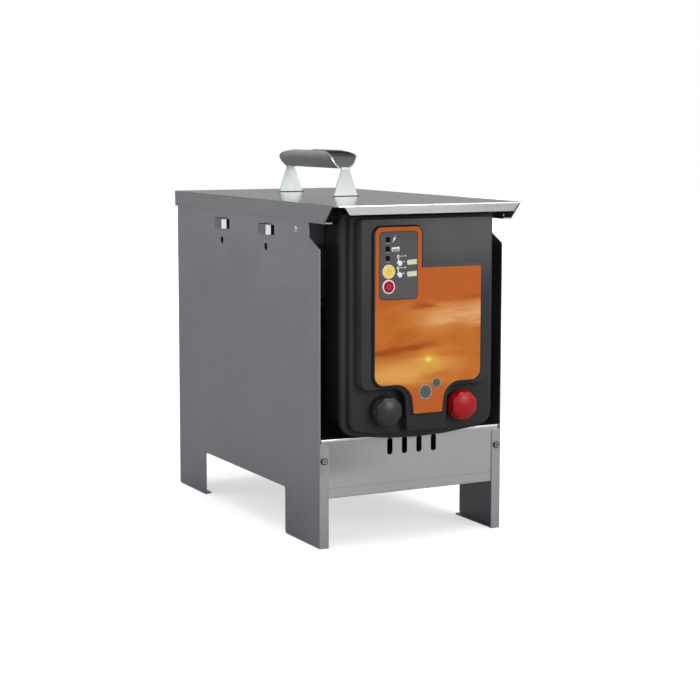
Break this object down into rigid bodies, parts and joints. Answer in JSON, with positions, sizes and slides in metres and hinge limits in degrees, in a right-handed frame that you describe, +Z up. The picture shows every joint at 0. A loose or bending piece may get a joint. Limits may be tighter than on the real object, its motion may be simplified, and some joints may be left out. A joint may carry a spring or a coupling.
{
  "type": "fence energizer",
  "caption": "Battery-powered electric fence energizer on the front of a galvanised sheet-metal battery box with legs, a hinged roof and a carry handle.",
  "frame": {"origin": "bottom centre of the whole object's bounding box, on the surface it stands on", "axes": "+Z up, -Y is the front with the label and knobs, +Y towards the hinge at the rear, +X to the right seen from the front"},
  "size_m": [0.248, 0.4704, 0.445],
  "materials": {
    "galvanised": "satin zinc-coated sheet",
    "roof_sheet": "smooth bright zinc-coated sheet",
    "handle_steel": "pressed zinc-plated steel",
    "zinc_fasteners": "zinc plated",
    "casing_plastic": "moulded, fine texture",
    "black_plastic": "moulded, smooth",
    "red_plastic": "moulded, smooth",
    "rubber": "moulded",
    "orange_label": "printed film, satin",
    "grey_overlay": "printed film, matt",
    "smoked_window": "smoked clear plastic",
    "led_resin": "diffused resin",
    "yellow_key": "printed dome",
    "red_key": "printed dome with a pale ring",
    "board_green": "glass-filled board",
    "capacitor_sleeve": "shrink sleeve",
    "laminations": "varnished laminations",
    "winding_tape": "insulating tape",
    "brass": "turned",
    "battery_case": "moulded",
    "battery_cover": "moulded",
    "battery_lead": "cast lead, dull",
    "red_lead": "cable sheath",
    "black_lead": "cable sheath"
  },
  "bodies": {
    "case": {"left_side_panel": "galvanised", "right_side_panel": "galvanised", "front_apron": "galvanised", "rear_panel": "galvanised", "floor_tray": "galvanised", "top_crossbar": "galvanised", "hinge_leaf_case": "handle_steel", "hinge_pin": "handle_steel", "crossbar_rivets": "zinc_fasteners", "apron_screws": "zinc_fasteners", "case_hinge_rivets": "zinc_fasteners", "cover_screws": "zinc_fasteners", "crossbar_bolts": "zinc_fasteners", "board_screws": "zinc_fasteners", "hold_down_rods": "zinc_fasteners", "hold_down_nuts": "zinc_fasteners", "stud_nuts": "brass", "capacitor_clamp": "zinc_fasteners", "hold_down_bar": "galvanised", "front_cover": "casing_plastic", "rear_housing": "casing_plastic", "cover_gasket": "rubber", "support_pads": "rubber", "lead_grommets": "rubber", "face_label": "orange_label", "control_panel": "grey_overlay", "label_badges": "grey_overlay", "led_windows": "smoked_window", "status_leds": "led_resin", "key_switches": "black_plastic", "circuit_board": "board_green", "storage_capacitor": "capacitor_sleeve", "transformer_core": "laminations", "transformer_winding": "winding_tape", "terminal_studs": "brass", "terminal_washers": "brass", "battery_case": "battery_case", "battery_cover": "battery_cover", "battery_vent_plugs": "battery_cover", "battery_posts": "battery_lead", "battery_clamps": "brass", "red_lead": "red_lead", "black_lead": "black_lead"},
    "lid": {"roof_lid": "roof_sheet", "carry_handle": "handle_steel", "hinge_leaf_lid": "handle_steel", "lid_hinge_rivets": "zinc_fasteners"},
    "yellow_button": {"yellow_key": "yellow_key"},
    "red_button": {"red_key": "red_key"},
    "black_insert": {"black_knob_insert": "brass"},
    "black_terminal": {"black_knob": "black_plastic"},
    "red_insert": {"red_knob_insert": "brass"},
    "red_terminal": {"red_knob": "red_plastic"}
  },
  "joints": [
    {"name": "lid_hinge", "type": "hinge", "parent": "case", "child": "lid", "pos_m": [0, 0.2322, 0.3675], "axis": [-1, 0, 0], "range_deg": [0, 105]},
    {"name": "yellow_key_press", "type": "slide", "parent": "case", "child": "yellow_button", "axis": [0, 1, 0], "range_m": [0, 0.0008], "stiffness_N_per_m": 2500, "springref_m": -0.0004},
    {"name": "red_key_press", "type": "slide", "parent": "case", "child": "red_button", "axis": [0, 1, 0], "range_m": [0, 0.0008], "stiffness_N_per_m": 2500, "springref_m": -0.0004},
    {"name": "black_insert_travel", "type": "slide", "parent": "case", "child": "black_insert", "axis": [0, -1, 0], "range_m": [0, 0.003]},
    {"name": "black_knob_turn", "type": "hinge", "parent": "black_insert", "child": "black_terminal", "pos_m": [-0.049, -0.2108, 0.1576], "axis": [0, -1, 0], "range_deg": [0, 1080]},
    {"name": "red_insert_travel", "type": "slide", "parent": "case", "child": "red_insert", "axis": [0, -1, 0], "range_m": [0, 0.003]},
    {"name": "red_knob_turn", "type": "hinge", "parent": "red_insert", "child": "red_terminal", "pos_m": [0.049, -0.2108, 0.1576], "axis": [0, -1, 0], "range_deg": [0, 1080]}
  ],
  "couplings": [
    {"joint": "black_insert_travel", "follows": "black_knob_turn", "m_per_rad": 0.000159},
    {"joint": "red_insert_travel", "follows": "red_knob_turn", "m_per_rad": 0.000159}
  ]
}
